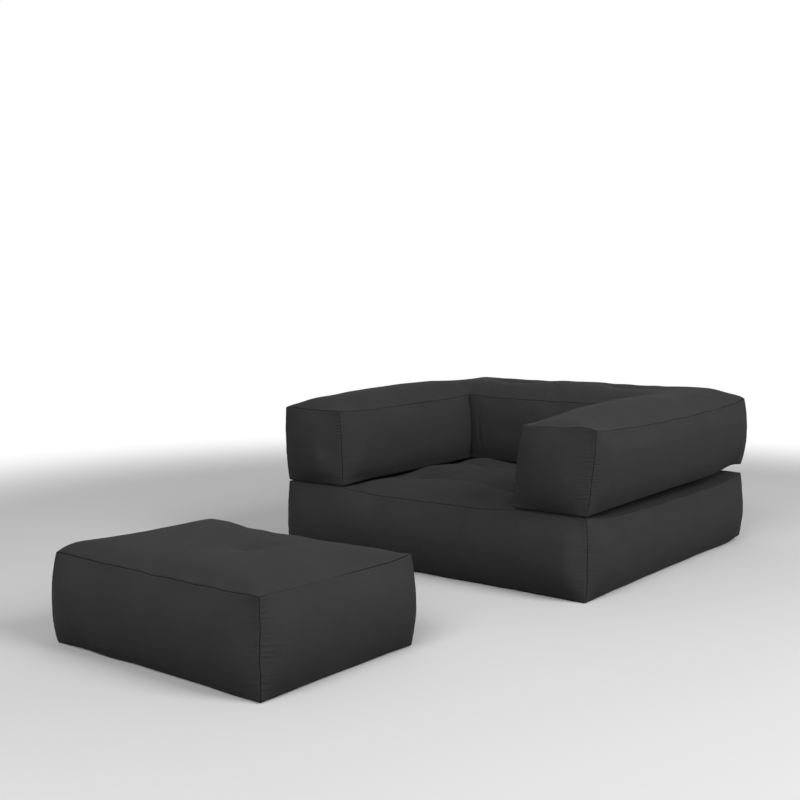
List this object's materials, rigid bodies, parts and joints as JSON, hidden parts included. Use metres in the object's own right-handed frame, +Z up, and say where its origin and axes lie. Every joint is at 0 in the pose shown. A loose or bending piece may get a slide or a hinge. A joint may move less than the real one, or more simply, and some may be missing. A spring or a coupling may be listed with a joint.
{
  "type": "chair bed",
  "caption": "Tufted charcoal fabric chair bed: a square base mattress, a U-shaped surround that folds forward off it to make a long flat bed, and a loose pouf.",
  "frame": {"origin": "centre of the base mattress's underside, on the floor", "axes": "+Z up, -Y out of the front of the chair towards the pouf, +X to the right seen from the front"},
  "size_m": [1.087, 2.0923, 0.5147],
  "materials": {
    "cover_fabric": "matt charcoal plain weave",
    "wadding": "white bonded polyester wadding",
    "foam": "open-cell upholstery foam",
    "tie_twine": "waxed tufting twine",
    "fold_tape": "woven cotton tape"
  },
  "bodies": {
    "base": {"base_back_border": "cover_fabric", "base_bottom_panel": "cover_fabric", "base_foam_core": "foam", "base_front_border": "cover_fabric", "base_left_border": "cover_fabric", "base_right_border": "cover_fabric", "base_top_panel": "cover_fabric", "base_tuft_ties": "tie_twine", "base_wadding": "wadding", "left_fold_strip_base_leaf": "fold_tape", "right_fold_strip_base_leaf": "fold_tape"},
    "surround": {"back_foam": "foam", "left_arm_foam": "foam", "left_fold_strip_surround_leaf": "fold_tape", "right_arm_foam": "foam", "right_fold_strip_surround_leaf": "fold_tape", "surround_back_border": "cover_fabric", "surround_bottom_panel": "cover_fabric", "surround_left_arm_front_border": "cover_fabric", "surround_left_border": "cover_fabric", "surround_opening_back_border": "cover_fabric", "surround_opening_left_border": "cover_fabric", "surround_opening_right_border": "cover_fabric", "surround_right_arm_front_border": "cover_fabric", "surround_right_border": "cover_fabric", "surround_top_panel": "cover_fabric", "surround_tuft_ties": "tie_twine", "surround_wadding": "wadding"},
    "pouf": {"pouf_back_border": "cover_fabric", "pouf_bottom_panel": "cover_fabric", "pouf_foam_core": "foam", "pouf_front_border": "cover_fabric", "pouf_left_border": "cover_fabric", "pouf_right_border": "cover_fabric", "pouf_top_panel": "cover_fabric", "pouf_tuft_ties": "tie_twine", "pouf_wadding": "wadding"}
  },
  "joints": [
    {"name": "surround_fold", "type": "hinge", "parent": "base", "child": "surround", "pos_m": [0, -0.526, 0.2232], "axis": [1, 0, 0], "range_deg": [0, 179.1]},
    {"name": "pouf_slide", "type": "slide", "parent": "base", "child": "pouf", "axis": [0, -1, 0], "range_m": [0, 0.6]}
  ],
  "couplings": [
    {"joint": "pouf_slide", "follows": "surround_fold", "m_per_rad": 0.19}
  ]
}
